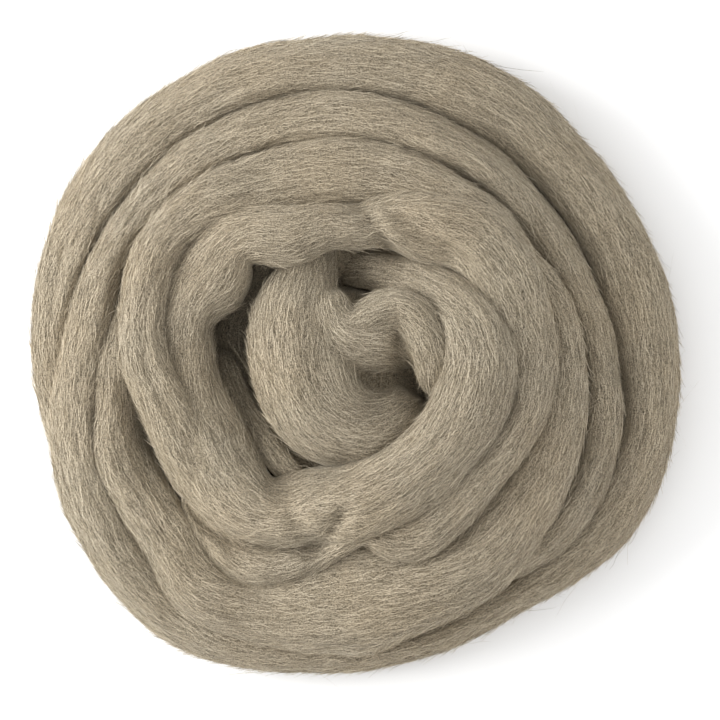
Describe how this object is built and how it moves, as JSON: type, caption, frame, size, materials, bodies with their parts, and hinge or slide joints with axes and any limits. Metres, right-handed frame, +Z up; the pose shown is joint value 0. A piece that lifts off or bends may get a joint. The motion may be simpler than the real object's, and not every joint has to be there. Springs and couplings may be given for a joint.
{
  "type": "wool roving coil",
  "caption": "Loose coil of undyed combed wool roving, wound flat on itself with its inner end folded over the middle, for spinning and felting.",
  "frame": {"origin": "centre of the coil's outline on the flat underside, at the height of the surface it rests on", "axes": "+Z up out of the coil, the way it is seen from above; +X to the right and +Y to the top of that view, with the deep gap left of the middle at -X and the highest lobe at +X"},
  "size_m": [0.2008, 0.1974, 0.0563],
  "materials": {
    "wool": "matt, undyed beige-grey combed wool"
  },
  "bodies": {
    "root": {"wool_roving": "wool"}
  },
  "joints": []
}
